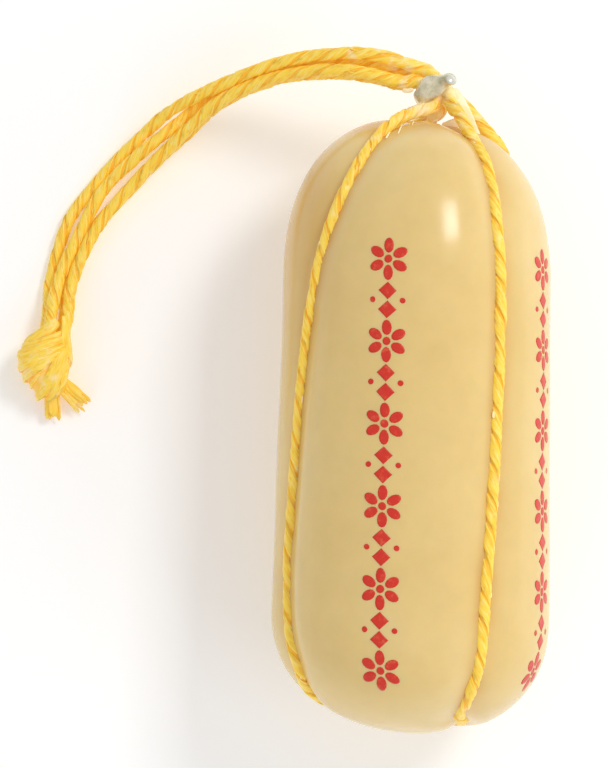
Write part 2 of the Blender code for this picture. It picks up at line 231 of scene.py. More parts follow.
def new_object(name, data):
    made = bpy.data.objects.new(name, data)
    bpy.context.scene.collection.objects.link(made)
    return made


def show(name, net, finish):
    """A piece that rides with the rest of the part."""
    mesh = to_mesh(net, name)
    made = new_object(name, mesh)
    mesh.materials.append(finish)
    mesh.shade_smooth()
    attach(made, "root")
    return made


def new_finish(name, **sockets):
    """A material, its tree and its shader, with these of the shader's sockets set."""
    made = bpy.data.materials.new(name)
    made.use_nodes = True
    tree = made.node_tree
    shader = tree.nodes["Principled BSDF"]
    for socket, value in sockets.items():
        shader.inputs[socket.replace("_", " ")].default_value = value
    return made, tree, shader


def feed(tree, shader, **outputs):
    """Links these outputs of other nodes into the shader's sockets."""
    for socket, output in outputs.items():
        tree.links.new(output, shader.inputs[socket.replace("_", " ")])


def node(tree, kind, inputs=None, **settings):
    """A node with these settings. An input is a value or another node's output."""
    made = tree.nodes.new(kind)
    for name, value in settings.items():
        setattr(made, name, value)
    for socket, value in (inputs or {}).items():
        if isinstance(value, bpy.types.NodeSocket):
            tree.links.new(value, made.inputs[socket])
        else:
            made.inputs[socket].default_value = value
    return made


def ramp(tree, factor, *stops):
    """A colour ramp over (place, colour) stops. A number stands for a grey."""
    made = node(tree, "ShaderNodeValToRGB", {"Fac": factor})
    elements = made.color_ramp.elements
    while len(elements) < len(stops):
        elements.new(0.5)
    for element, (place, colour) in zip(elements, stops):
        element.position = place
        element.color = (*colour, 1) if isinstance(colour, tuple) else (colour, colour, colour, 1)
    return made.outputs["Color"]


def blend(tree, factor, first, second, how="MIX"):
    """Mixes two colours."""
    made = node(tree, "ShaderNodeMix", data_type="RGBA", blend_type=how)
    for socket, value in ((made.inputs[0], factor), (made.inputs[6], first), (made.inputs[7], second)):
        if isinstance(value, bpy.types.NodeSocket):
            tree.links.new(value, socket)
        else:
            socket.default_value = value
    return made.outputs[2]


def object_places(tree):
    return node(tree, "ShaderNodeTexCoord").outputs["Object"]


def speckle(tree, coords, scale, detail, roughness=0.55):
    """The grey of a noise texture."""
    inputs = {"Vector": coords, "Scale": scale, "Detail": detail, "Roughness": roughness}
    return node(tree, "ShaderNodeTexNoise", inputs).outputs["Fac"]


def bump(tree, shader, height, distance, strength):
    made = node(tree, "ShaderNodeBump", {"Height": height, "Distance": distance, "Strength": strength})
    feed(tree, shader, Normal=made.outputs["Normal"])


def wax_finish():
    inside = {"Subsurface_Weight": 0.4, "Subsurface_Radius": (1.0, 0.6, 0.25), "Subsurface_Scale": 2.2 * MM}
    made, tree, shader = new_finish("waxed_rind", Roughness=0.2, IOR=1.44, **inside)
    coords = object_places(tree)
    waxes = (0.3, (0.84, 0.605, 0.235)), (0.55, (0.87, 0.645, 0.27)), (0.75, (0.89, 0.68, 0.31))
    clouds = ramp(tree, speckle(tree, coords, 26, 4), *waxes)
    mottle = ramp(tree, speckle(tree, coords, 170, 5), (0.25, 0.955), (0.7, 1.0))
    colour = blend(tree, 1.0, clouds, mottle, "MULTIPLY")
    # Painted orange shade, with light bounced off the twine: beside the strings, round the rim under the
    # clip, and on the upper left.
    glow = node(tree, "ShaderNodeAttribute", attribute_name="glow").outputs["Fac"]
    colour = blend(tree, glow, colour, (0.70, 0.36, 0.07, 1))
    gloss = ramp(tree, speckle(tree, coords, 60, 6), (0.3, 0.17), (0.75, 0.25))
    feed(tree, shader, Base_Color=colour, Roughness=gloss)
    bump(tree, shader, speckle(tree, coords, 420, 5), 0.03 * MM, 0.5)
    return made


def make_rind():
    """A ball whose columns of faces follow the strings, moved on to the cheese's surface."""
    body = bmesh.new()
    glow = body.verts.layers.float.new("glow")
    bmesh.ops.create_uvsphere(body, u_segments=RIND_SEGMENTS[0], v_segments=RIND_SEGMENTS[1], radius=1)
    for vert in body.verts:
        along = round(1 - acos(max(-1, min(1, vert.co.z))) / pi, 6)
        turn = atan2(vert.co.y, vert.co.x) % tau / tau * 4
        lobe = int(turn + SEAM_SLACK) % 4
        share = max(turn - lobe, 0) if turn - lobe < 3 else 0
        share -= CROWDING * sin(tau * share) / tau
        angles = ring(along)[3]
        start, end = angles[lobe], angles[(lobe + 1) % 4]
        angle = start + (end - start) % tau * share
        off = string_distance(angle, along)
        place = surface(angle, along)
        climb = WAX_CLIMB * wavering(place, *CLIMB_WAVES) * exp(-((off / WAX_CLIMB_REACH) ** 2))
        place = surface(angle, along, climb + unevenness(place))
        # The painted orange shade: shade and twine-coloured bounce light beside the strings, and shade round
        # the rim and on the upper left.
        by_string = exp(-((off / SHADE_REACH) ** 2)) * wavering(place, *SHADE_WAVES)
        left_shade = smooth_step(*LEFT_SHADE_ACROSS, place.x) * smooth_step(*LEFT_SHADE_ALONG, place.y)
        vert[glow] = by_string + RIM_SHADE * smooth_step(*RIM_ALONG, place.y) + LEFT_SHADE * left_shade
        vert.co = (place.x, place.y, max(place.z, 0))
    return body


rind = show("rind", make_rind(), wax_finish())
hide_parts("cheese")


# ------------------
# The print: a column of plain flowers and lozenges in red food ink, rolled on to the
# crown of each lobe before the last dip, so that it lies just under the shine of the wax.

PRINT_PITCH = 9.9 * MM
PRINT_COUNT = 11
PRINT_BOTTOM = -58.9 * MM  # the middle of the lowest motif
PRINT_THICKNESS = 0.12 * MM
PRINT_RISE = 0.05 * MM
FLOWER_SIZE = 10.2 * MM
PETALS = 6
# Each mark as shares of half a flower: its place off the middle, its half width and length.
PETAL, DOT, DIAMOND, HEART = (0.64, 0.24, 0.36), (0.72, 0.14, 0.14), (0.9, 0.44, 0.42), (0.2, 0.2)
ROUND_SIDES, INK_CUTS = 12, 3
INK_WOBBLE, INK_WOBBLE_WAVE = 0.12, 3 * MM  # the swing in mm, the length
PRINT_ANGLES = tuple(radians(a) for a in (-14, 67, 172, 257))
STRAY_PLACES = (Vector((0.4, 0.6, 0.2)), Vector((31.4, 7.6, 12.2)), Vector((5.4, 43.6, 71.2)))


def stray_at(place):
    """A vector of three noises at this place. noise_vector isn't the same in every run."""
    return Vector([noise.noise(place + away) for away in STRAY_PLACES])


def patch(net, segments, matrix):
    """A filled ring of ink. Its triangles are cut small enough to follow the wax."""
    made = bmesh.ops.create_circle(
        net, cap_ends=True, cap_tris=True, segments=segments, radius=1, matrix=matrix
    )
    edges = list({edge for vert in made["verts"] for edge in vert.link_edges})
    bmesh.ops.subdivide_edges(net, edges=edges, cuts=INK_CUTS, use_grid_fill=True)


def flower(net, middle):
    size = FLOWER_SIZE / 2
    off, wide, long = PETAL
    leaf = Matrix.Translation((0, size * off, 0)) @ Matrix.Diagonal((size * wide, size * long, 1, 1))
    for petal in range(PETALS):
        turn = Matrix.Rotation(tau * petal / PETALS, 4, "Z")
        patch(net, ROUND_SIDES, Matrix.Translation((0, middle, 0)) @ turn @ leaf)
    heart = Matrix.Diagonal((size * HEART[0], size * HEART[1], 1, 1))
    patch(net, ROUND_SIDES, Matrix.Translation((0, middle, 0)) @ heart)


def lozenge(net, middle):
    """Two diamonds, one over the other, with a dot on either side."""
    size = FLOWER_SIZE / 2
    off, wide, long = DOT
    for side in (-1, 1):
        dot = Matrix.Translation((side * size * off, middle, 0))
        patch(net, ROUND_SIDES, dot @ Matrix.Diagonal((size * wide, size * long, 1, 1)))
    off, wide, long = DIAMOND
    for number in (0, 1):
        point = Matrix.Translation((0, middle + (number - 0.5) * size * off, 0))
        patch(net, 4, point @ Matrix.Diagonal((size * wide, size * long, 1, 1)))


def ink_finish():
    inside = {"Subsurface_Weight": 0.1, "Subsurface_Radius": (1.0, 0.3, 0.2), "Subsurface_Scale": 1.0 * MM}
    made, tree, shader = new_finish("red_ink", Roughness=0.33, **inside)
    coords = object_places(tree)
    reds = (0.28, (0.86, 0.15, 0.07)), (0.45, (0.76, 0.035, 0.014)), (0.8, (0.68, 0.020, 0.009))
    worn = ramp(tree, speckle(tree, coords, 520, 6, 0.7), *reds)
    feed(tree, shader, Base_Color=worn)
    return made


def make_print():
    """One flat column of motifs, laid on to the wax of each lobe."""
    net = bmesh.new()
    for number in range(PRINT_COUNT):
        (lozenge if number % 2 else flower)(net, PRINT_BOTTOM + PRINT_PITCH * number)
    bmesh.ops.solidify(net, geom=net.faces[:], thickness=PRINT_THICKNESS)
    flat = to_mesh(net, "flat_print")
    column = bmesh.new()
    for angle in PRINT_ANGLES:
        before = len(column.verts)
        column.from_mesh(flat)
        column.verts.ensure_lookup_table()
        for vert in column.verts[before:]:
            across, y, rise = vert.co
            along = along_at(y)
            wobble = stray_at(Vector((across, y, angle)) / INK_WOBBLE_WAVE) * INK_WOBBLE * MM
            place = angle + (across + wobble.x) / ring(round(along, 6))[1]
            share = along_at(y + wobble.y)
            level = PRINT_RISE - PRINT_THICKNESS * (0 if rise > -PRINT_THICKNESS / 2 else 1)
            vert.co = surface(place, share, level + unevenness(surface(place, share)))
            vert.co.z = max(vert.co.z, -level)
    bpy.data.meshes.remove(flat)
    return column


show("print", make_print(), ink_finish())


# ------------------
# The two bound strings: soft twine of two flat plies of split film, laid round each other.
# Each goes down one valley, under the bottom tip and up the opposite valley, and its ends
# turn into the clip. They were dipped with the cheese, and wax fills their grooves.

TWINE_RISE = 0.2 * MM
CROSSING_SINK = 2.0 * MM
CROSSING_CLIMB = 2.0 * MM
CROSSING_REACH = 4.7 * MM
LEG_START, LEG_STEP, TIP_STEP = 0.012, 0.04, 0.026  # shares of the way from tip to tip
CLIP_MIDDLE = Vector((3.0, 84.9, 33.8)) * MM
CLIP_TURN = radians(137)
CLIP_AXIS = Vector((cos(CLIP_TURN), sin(CLIP_TURN), 0))
CLIP_SIDE = Vector((sin(CLIP_TURN), -cos(CLIP_TURN), 0))
CLIP_STRAIGHT = 2.2 * MM
LEG_SPACING = 3.3 * MM

# The points that each leg passes between the cheese and the clip, in mm, and its place
# in the clip: (towards CLIP_SIDE, up).
LEG_EXITS = {
    "left_front": (
        ((-9.1, 72.8, 46.0), (-6.4, 75.2, 43.4), (-3.9, 76.9, 41.2), (-1.4, 78.0, 39.2), (1.1, 78.8, 37.3),
         (3.3, 80.2, 35.7)),
        (-1, 1),
    ),
    "right_front": (((10.6, 74.9, 42.6), (9.4, 77.4, 40.0), (7.6, 79.9, 37.8), (6.8, 82.4, 36.3)), (1, 1)),
    "right_back": (
        ((19.9, 69.8, 34.6), (18.1, 72.1, 34.4), (16.2, 74.4, 34.0), (14.2, 76.7, 33.6), (12.2, 79.0, 33.0),
         (9.0, 81.8, 32.4)),
        (1, -1),
    ),
    "left_back": (((-0.8, 75.3, 29.2), (3.2, 77.2, 30.7), (5.1, 79.7, 31.7)), (-1, -1)),
}

TWINE_STEP = 0.5 * MM
UV_LENGTH = 10 * MM  # of twine to one length of the fibres' pattern
LAY_PITCH = 15 * MM  # one full turn of the plies round each other
PLY_OFFSET = 0.70 * MM
PLY_HEIGHT, PLY_WIDTH = 0.88 * MM, 1.42 * MM  # half sizes of one ply
PLY_SIDES = 22
PLY_INNER = 0.6  # how flat a ply is where it lies on the other
CREASE_DEPTH = 0.26
CREASE_ROUND, CREASE_LENGTH, CREASE_WIDTH = 1.25, 9 * MM, 0.17
CREASE_LEAN = 13 * MM  # the creases wind round a ply by one radian in this length
# How far a ply strays from its turn, its place and its thickness, and over what length.
TURN_WAVES, LOOSE_WAVES, FULL_WAVES = (1.1, 14 * MM), (0.26, 8 * MM), (0.16, 6 * MM)
PLY_END = (0.25 * MM, 0.3)  # how far ahead a tapered end begins, and its least share
INNER_SHADE_EDGE = (0.35, -0.5)  # where the painted shade on the inner side of a ply begins and is full
FILLING_RADIUS = 1.22 * MM  # the wax and fluff that fill the grooves between the plies
# The filling is marked for painted shade, nearly as deep as a fold.
FILLING_SHADE, FILLING_SIDES = 0.9, 14
LOOSENED = (0.2, 9 * MM)  # how much thicker the twine is where it leaves the clip, and how far
WAX_BY_CLIP = 0.2  # how much more wax the twine holds beside the clip
WAX_FULL, WAX_GONE = 4 * MM, 30 * MM  # how far from the clip that holds, and ends
TWINE_GLOW = 0.11  # a painted glow: the twine gives off its own colour, for the light that comes through the film from behind
UP = Vector((0, 0, 1))


def route(points, step):
    """Points a step apart on one smooth curve through the given points."""
    reach = [0.0]
    for a, b in zip(points, points[1:]):
        reach.append(reach[-1] + (b - a).length)
    count = max(2, round(reach[-1] / step))
    stops = [reach[-1] * i / count for i in range(count + 1)]
    axes = [[(s, p[axis]) for s, p in zip(reach, points)] for axis in range(3)]
    return [Vector([through(a, stop) for a in axes]) for stop in stops]


def leg_at(leg, along, crossing):
    """A point of a string's middle on the cheese. crossing is what it adds at the tip."""
    y, radius, _, angles = ring(along)
    near_tip = exp(-((radius / CROSSING_REACH) ** 2)) if y < 0 else 0
    return surface(angles[LEGS.index(leg)], along, TWINE_RISE + crossing * near_tip)


def clip_place(place):
    side, up = place
    return CLIP_MIDDLE + LEG_SPACING / 2 * (side * CLIP_SIDE + up * UP)


def leg_points(leg, crossing):
    """A leg's points from near the bottom tip to the middle of the clip."""
    off, place = LEG_EXITS[leg]
    on = []
    along = LEG_START
    while ring(along)[0] < 0 or ring(along)[1] > LEAVES[leg]:
        on.append(leg_at(leg, along, crossing))
        along += LEG_STEP if 1 / 3 < along < 2 / 3 else TIP_STEP
    inside = clip_place(place)
    return on + [Vector(p) * MM for p in off] + [inside - CLIP_STRAIGHT * CLIP_AXIS, inside]


def way_at(path, i):
    """The way that a path goes at its point i."""
    return (path[min(i + 1, len(path) - 1)] - path[max(i - 1, 0)]).normalized()


def travel(path):
    """For each point of a path: its distance along, its way, and two directions across
    it that turn as little as they can."""
    across = UP.cross(path[1] - path[0]).normalized()
    distance = 0.0
    stations = []
    for i, point in enumerate(path):
        way = way_at(path, i)
        distance += (point - path[i - 1]).length if i else 0
        across = (across - across.dot(way) * way).normalized()
        stations.append((distance, way, across, way.cross(across)))
    return stations


def wrap(net, count, sides, length, place):
    """Adds a closed tube: a flat grid, rolled up so that its columns run along the tube.
    place(station, share of the way round) gives a point and its painted light (shade in the folds of twine, a
    highlight on the end of the clip's stub)."""
    crease = net.verts.layers.float["crease"]
    uv = net.loops.layers.uv["lay"]
    grid = bmesh.ops.create_grid(net, x_segments=sides, y_segments=count - 1, size=0.5, calc_uvs=True)
    made = grid["verts"]
    faces = {face for vert in made for face in vert.link_faces}
    for face in faces:
        for loop in face.loops:
            loop[uv].uv.y *= length / UV_LENGTH
    for vert in made:
        station = round((vert.co.y + 0.5) * (count - 1))
        point, vert[crease] = place(station, vert.co.x + 0.5)
        vert.co = (point.x, point.y, max(point.z, 0))
    bmesh.ops.remove_doubles(net, verts=made, dist=1e-7)
    edges = {edge for face in faces if face.is_valid for edge in face.edges if edge.is_boundary}
    bmesh.ops.holes_fill(net, edges=list(edges), sides=0)


def crease_at(turn, distance, seed):
    """0 on the round of a ply and 1 deep in a fold that runs along it."""
    across, up = cos(turn) * CREASE_ROUND, sin(turn) * CREASE_ROUND
    place = Vector((across, up, distance / CREASE_LENGTH)) + seed
    return max(0, 1 - abs(noise.noise(place)) / CREASE_WIDTH)


def drift(waves, distance, seed, *place):
    """How far something strays here. waves is the swing and its length."""
    return waves[0] * noise.noise(Vector((distance / waves[1], *place)) + seed)


def add_ply(net, centres, radials, length, seed, shape=(PLY_HEIGHT, PLY_WIDTH), sides=PLY_SIDES,
            taper=0.0, swell=None):
    """One ply: a flat, creased band with its flat side against the other ply. shape is
    its half height and its half width at both ends. swell(distance) makes it thicker."""
    count = len(centres)
    height, *widths = shape
    ways = [way_at(centres, i) for i in range(count)]
    step = length / (count - 1)

    def place(station, share):
        turn = tau * share - pi
        distance = step * station
        radial = radials[station]
        across = ways[station].cross(radial)
        fold = crease_at(turn + distance / CREASE_LEAN, distance, seed)
        full = 1 + drift(FULL_WAVES, distance, seed, 0, 0)
        full *= swell(distance) if swell else 1
        ahead, least = PLY_END
        ends = min(1, *((off + ahead) / (taper + 1e-9) for off in (distance, length - distance)))
        reach = full * (1 - CREASE_DEPTH * fold) * max(ends, least)
        high = height * (1 if cos(turn) > 0 else PLY_INNER) * cos(turn)
        wide = (widths[0] + (widths[-1] - widths[0]) * distance / length) * sin(turn)
        point = centres[station] + reach * (radial * high + across * wide)
        inner = smooth_step(*INNER_SHADE_EDGE, cos(turn))
        # Painted shade: the folds and the inner side of the ply are marked for a darker colour.
        return point, max(fold, inner)

    wrap(net, count, sides, length, place)


def add_twine(net, path, seed, start=0.0, ends=(0,)):
    """Both plies of a twine, which turn to the left as they go, and the wax and fluff
    between them. ends holds the ends in the clip: 0 for the first and 1 for the last."""
    stations = travel(path)
    length = stations[-1][0]

    def loosened(distance):
        reach = min(abs(distance - end * length) for end in ends)
        return 1 + LOOSENED[0] * exp(-reach / LOOSENED[1])

    for ply in range(2):
        centres, radials = [], []
        for point, (distance, _, first, second) in zip(path, stations):
            turn = start + ply * pi - tau * distance / LAY_PITCH
            turn += drift(TURN_WAVES, distance, seed, 3, 1)
            radial = first * cos(turn) + second * sin(turn)
            loose = 1 + drift(LOOSE_WAVES, distance, seed, ply, 7)
            centres.append(point + radial * PLY_OFFSET * loose * loosened(distance))
            radials.append(radial)
        add_ply(net, centres, radials, length, seed + Vector((0, 0, 40 * ply)), swell=loosened)

    def filling(station, share):
        _, _, first, second = stations[station]
        turn = tau * share
        off = first * cos(turn) + second * sin(turn)
        return path[station] + FILLING_RADIUS * off, FILLING_SHADE

    wrap(net, len(path), FILLING_SIDES, length, filling)


def add_strip(net, points, length, radial, seed, shape, cut):
    """One ply by itself, through these points. cut is its step along, how many sides it
    has and how long its tapered ends are."""
    path = route(points, cut[0])
    add_ply(net, path, [radial] * len(path), length, seed, shape, *cut[1:])


def new_net():
    """A bmesh with the layers that twine needs."""
    net = bmesh.new()
    net.verts.layers.float.new("crease")
    net.loops.layers.uv.new("lay")
    return net


def twine_finish(name, roughness, wax):
    """Film twine: fine fibres along the plies, with painted orange shade in the creases. wax is how
    much of it is under a pale skin of wax, of which there is more beside the clip."""
    made, tree, shader = new_finish(name, Roughness=roughness, IOR=1.49, Emission_Strength=TWINE_GLOW)
    lay = node(tree, "ShaderNodeUVMap", uv_map="lay").outputs["UV"]
    coords = object_places(tree)
    stretched = node(tree, "ShaderNodeMapping", {"Vector": lay, "Scale": (30, 2.2, 1)}).outputs["Vector"]
    fibres = speckle(tree, stretched, 1.0, 5, 0.65)
    # Streaks along the fibres, from deep to pale yellow; the palest stop is partly a painted highlight on the
    # shiny film.
    yellows = (0.30, (1.0, 0.56, 0.025)), (0.42, (1.0, 0.66, 0.05)), (0.55, (1.0, 0.72, 0.10))
    colour = ramp(tree, fibres, *yellows, (0.70, (1.0, 0.87, 0.38)))
    # Painted shade: deeper orange in the folds, on the inner sides of the plies and in the filling.
    crease = node(tree, "ShaderNodeAttribute", attribute_name="crease").outputs["Fac"]
    colour = blend(tree, ramp(tree, crease, (0.3, 0.0), (1.0, 0.75)), colour, (0.96, 0.47, 0.02, 1))
    off = node(tree, "ShaderNodeVectorMath", {0: coords, 1: CLIP_MIDDLE}, operation="DISTANCE")
    near = ramp(tree, off.outputs["Value"], (WAX_FULL, WAX_BY_CLIP), (WAX_GONE, 0.0))
    wax_here = node(tree, "ShaderNodeMath", {0: speckle(tree, coords, 210, 4, 0.6), 1: near})
    patches = ramp(tree, wax_here.outputs["Value"], (0.66 - wax, 0.0), (0.80 - wax / 2, 0.6))
    colour = blend(tree, patches, colour, (1.0, 0.88, 0.60, 1))
    gloss = ramp(tree, fibres, (0.3, roughness + 0.12), (0.7, roughness - 0.06))
    # The emission is a painted glow of the twine's own colour.
    feed(tree, shader, Base_Color=colour, Emission_Color=colour, Roughness=gloss)
    bump(tree, shader, fibres, 0.12 * MM, 0.6)
    return made


waxed_twine = twine_finish("waxed_twine", 0.3, 0.05)
string_paths = []
for number, (name, legs, crossing) in enumerate(
    (
        ("string_a", ("left_front", "right_back"), CROSSING_CLIMB),
        ("string_b", ("right_front", "left_back"), -CROSSING_SINK),
    )
):
    up_1, up_2 = (leg_points(leg, crossing) for leg in legs)
    points = up_1[::-1] + [leg_at(legs[0], 0, crossing)] + up_2
    net = new_net()
    string_paths.append(route(points, TWINE_STEP))
    add_twine(net, string_paths[-1], Vector((11 * number, 5, 2)), ends=(0, 1))
    string = show("bound_" + name, net, waxed_twine)
    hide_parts(name)


# ------------------
# The clip: a soft metal wire, pressed flat round the four legs. One end is tucked in
# beside them, and the other stands out as a round stub. Wax from the dip dulls it.

TWINE_RADIUS = 1.5 * MM
CLIP_THICKNESS = 2.2 * MM
GAP = 0.3 * MM  # between the strands and the wire
CLIP_CORNER, CORNER_STEPS = 0.6, 5  # its sides run straight for this share
CLIP_SQUARE, CLIP_BEVEL = 0.85, (0.8, 1.5 * MM)  # at the ends of the wire: the least share, the length
DENTS = (0.15, 2.2 * MM)  # the swing in mm, the length

# The wire from the end of its stub to its tucked end, in mm: (share of the way, width
# along the legs, thickness, shift along the legs). The stub is round and the rest flat.
CLIP_WIRE = (
    (0, 2.8, 2.8, -2.4), (0.06, 3.7, 2.7, -1.3), (0.12, 5.4, 2.4, -0.2), (0.18, 6.0, 2.2, 0),
    (0.26, 4.4, 2.2, 0.2), (0.35, 3.6, 2.2, 0.4), (0.7, 3.6, 2.2, -0.8), (1, 2.8, 2.2, -1.9),
)
CLIP_STUB = ((3.9, 6.4), (3.2, 5.3), (2.0, 4.7))  # (towards CLIP_SIDE, up), in mm
CLIP_SIDES = 28
CLIP_STEP = 0.35 * MM


def clip_finish():
    made, tree, shader = new_finish("waxed_metal", Metallic=0.35, Roughness=0.34, IOR=1.45)
    coords = object_places(tree)
    greys = (0.32, (0.52, 0.48, 0.31)), (0.5, (0.78, 0.71, 0.50)), (0.68, (0.95, 0.88, 0.68))
    colour = ramp(tree, speckle(tree, coords, 330, 5, 0.6), *greys)
    # Painted highlight: the round end of the stub is painted a pale grey.
    end = node(tree, "ShaderNodeAttribute", attribute_name="crease").outputs["Fac"]
    colour = blend(tree, end, colour, (0.80, 0.80, 0.70, 1))
    gloss = ramp(tree, speckle(tree, coords, 500, 4), (0.3, 0.16), (0.7, 0.3))
    feed(tree, shader, Base_Color=colour, Roughness=gloss)
    bump(tree, shader, speckle(tree, coords, 600, 5), 0.1 * MM, 0.3)
    return made


def squared(c, power):
    """A cosine or sine, pushed out so that a round turns squarer."""
    return copysign(abs(c) ** power, c)


def make_clip():
    """The wire, swept round the legs: a loop with rounded corners, open by the stub."""
    inner = LEG_SPACING / 2 + TWINE_RADIUS + GAP + CLIP_THICKNESS / 2
    corner = CLIP_CORNER * inner
    radius = inner - corner
    outline = [(side * MM, up * MM) for side, up in CLIP_STUB] + [(0.2 * inner, inner)]
    for side, up in ((-1, 1), (-1, -1), (1, -1)):
        for i in range(CORNER_STEPS + 1):
            angle = pi / 2 * i / CORNER_STEPS + atan2(up, side) - pi / 4
            off = radius * cos(angle), radius * sin(angle)
            outline.append((side * corner + off[0], up * corner + off[1]))
    outline.append((inner, inner * 0.2))
    path = route([CLIP_MIDDLE + CLIP_SIDE * side + UP * up for side, up in outline], CLIP_STEP)
    length = CLIP_STEP * (len(path) - 1)
    net = new_net()

    def place(station, share):
        distance = CLIP_STEP * station
        width, thickness, shift = (value * MM for value in curves(CLIP_WIRE, distance / length))
        turn = tau * share
        least, bevel = CLIP_BEVEL
        end = min(1, *(least + off / bevel for off in (distance, length - distance)))
        flat, tall = (squared(c, CLIP_SQUARE) for c in (cos(turn), sin(turn)))
        across = way_at(path, station).cross(CLIP_AXIS)
        off = end * (CLIP_AXIS * width / 2 * flat + across * thickness / 2 * tall)
        point = path[station] + CLIP_AXIS * shift + off
        dent = noise.noise(point / DENTS[1]) * DENTS[0] * MM
        # The end of the stub is marked for a painted highlight.
        return point + off.normalized() * dent, 1.0 if station == 0 else 0.0

    wrap(net, len(path), CLIP_SIDES, length, place)
    return net


clip = show("pressed_clip", make_clip(), clip_finish())
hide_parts("clip")


# ------------------
# The tail: the four ends of the strings, which go on from the clip as a loose bundle and
# lie down on the table to the knot. The twine is the same, but only waxed near the clip.

# The middle of the bundle, in mm, and each strand's place in it: (sideways, up).
# Sideways is towards the outside of the tail's curve.
TAIL_ROUTE = (
    ((-4.4, 87.7, 33.8), (2.6, 1.6), (1.3, -1.9), (-2.0, 1.6), (-2.2, -1.8)),
    ((-11.5, 89.7, 33.4), (2.6, 1.5), (0.7, -2.1), (-2.5, 1.6), (-2.7, -1.9)),
    ((-20.4, 90.6, 30.8), (2.3, 1.4), (0.9, -2.2), (-1.9, 1.8), (-2.5, -1.8)),
    ((-35.5, 89.1, 23.6), (1.7, 1.9), (1.6, -1.9), (-1.7, 1.9), (-1.8, -1.9)),
    ((-50.8, 83.5, 15.6), (1.8, 1.9), (1.5, -2.0), (-1.7, 1.9), (-2.0, -1.9)),
    ((-61.1, 76.8, 10.2), (3.4, 0.8), (0.0, -1.3), (-3.1, 1.7), (-3.5, -2.3)),
    ((-68.8, 69.8, 6.6), (3.9, -1.0), (0.5, 1.7), (-3.4, 1.6), (-3.4, -2.0)),
    ((-79.4, 58.9, 3.6), (3.8, -1.7), (1.1, 0.5), (-3.7, 1.7), (-3.6, -1.9)),
    ((-86.4, 48.6, 3.3), (4.0, -1.7), (-0.1, 1.0), (-3.5, 1.7), (-2.4, -1.7)),
    ((-91.1, 35.4, 3.3), (2.9, -1.6), (0.6, 1.4), (-2.9, 1.6), (-1.2, -1.7)),
    ((-92.0, 25.2, 5.4), (2.7, -1.6), (1.5, 2.0), (-2.8, 1.6), (-1.7, -1.7)),
)
TAIL_PLACES = ((1, 1), (1, -1), (-1, 1), (-1, -1))  # in the clip, as in LEG_EXITS
TAIL_START = 1.0 * MM
TAIL_TURN = 1.1  # how much further round each strand's plies begin
TAIL_GATHER = 0.7  # how far apart the strands still are inside the knot
TAIL_END = Vector((-93.2, 16.5, 6.4)) * MM  # where the strands go into the knot

dry_twine = twine_finish("dry_twine", 0.34, 0.0)


def tail_path(number):
    """The way of one strand, from inside the clip to inside the knot."""
    inside = clip_place(TAIL_PLACES[number])
    start = inside + (CLIP_STRAIGHT + GAP) * CLIP_AXIS
    points = [inside, start, start + TAIL_START * CLIP_AXIS]
    middles = [CLIP_MIDDLE + (CLIP_STRAIGHT + GAP) * CLIP_AXIS]
    middles += [Vector(station[0]) * MM for station in TAIL_ROUTE]
    for k, station in enumerate(TAIL_ROUTE):
        way = middles[min(k + 2, len(middles) - 1)] - middles[k]
        side = Vector((way.y, -way.x, 0)).normalized()
        sideways, up = station[number + 1]
        points.append(middles[k + 1] + side * sideways * MM + UP * up * MM)
    points.append(TAIL_END + (points[-1] - middles[-1]) * TAIL_GATHER)
    return route(points, TWINE_STEP)


tails = []
for number in range(4):
    path = tail_path(number)
    net = new_net()
    add_twine(net, path, Vector((3, 17 * number, 9)), start=TAIL_TURN * number)
    strand = show(f"tail_strand_{number + 1}", net, dry_twine)
    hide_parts(f"tail_{number + 1}")
    tails.append((strand, path))


# ------------------
# Loose fibres: threads of film that have split off the twine, mostly near the clip and the
# knot, where it was handled.

FIBRE_SHAPE, FIBRE_CUT = (0.11 * MM, 0.2 * MM), (0.6 * MM, 6, 0.8 * MM)
FIBRE_COUNTS = (22, 34)  # on each string and on each strand
FIBRE_SPAN = (0.94, 0.03)  # the share of the twine that they grow from, and where it begins
# In mm: its length's mean and swing, its foot's place, how far its middle stands out and
# strays sideways, and the same for its tip, which strays outwards too.
FIBRE_LENGTH, FIBRE_FOOT, FIBRE_MIDDLE, FIBRE_TIP = (2.6, 2.2), 1.15, (0.35, 0.5), (0.4, 0.5, 1.4)
FIBRE_FLOOR = 0.4 * MM  # a thread that would hang lower isn't made


def add_fibres(net, path, count, seed):
    """Threads that leave the twine at a flat angle and run along beside it."""
    stations = travel(path)
    last = len(path) - 1
    for number in range(count):
        stray = stray_at(Vector((2.3 * number, 5, 1)) + seed)
        share = 0.5 - 0.5 * cos(pi * (number + 0.5) / count)
        station = round(share * last * FIBRE_SPAN[0] + FIBRE_SPAN[1] * last)
        _, way, first, second = stations[station]
        turn = 9 * stray.x + 2.4 * number
        out = first * cos(turn) + second * sin(turn)
        side = way.cross(out)
        reach = (FIBRE_LENGTH[0] + FIBRE_LENGTH[1] * stray.y) * MM
        foot = path[station] + out * FIBRE_FOOT * MM
        lift, sideways = FIBRE_MIDDLE
        middle = foot + way * reach * 0.5 + out * lift * MM + side * sideways * stray.z * MM
        lift, swing, sideways = FIBRE_TIP
        tip = foot + way * reach + out * (lift + swing * stray.z) * MM + side * sideways * stray.x * MM
        if min(foot.z, middle.z, tip.z) >= FIBRE_FLOOR:
            add_strip(net, [foot, middle, tip], reach, out, seed + stray, FIBRE_SHAPE, FIBRE_CUT)


fibres = new_net()
for number, path in enumerate(string_paths):
    add_fibres(fibres, path, FIBRE_COUNTS[0], Vector((20, 3 * number, 4)))
for number, (_, path) in enumerate(tails):
    add_fibres(fibres, path, FIBRE_COUNTS[1], Vector((40, 3 * number, 6)))
show("loose_fibres", fibres, dry_twine)


# ------------------
# Loose wax: what the dip left beside the clip. Tongues hang from the strings, thin webs
# lie between them, and beads sit along them.

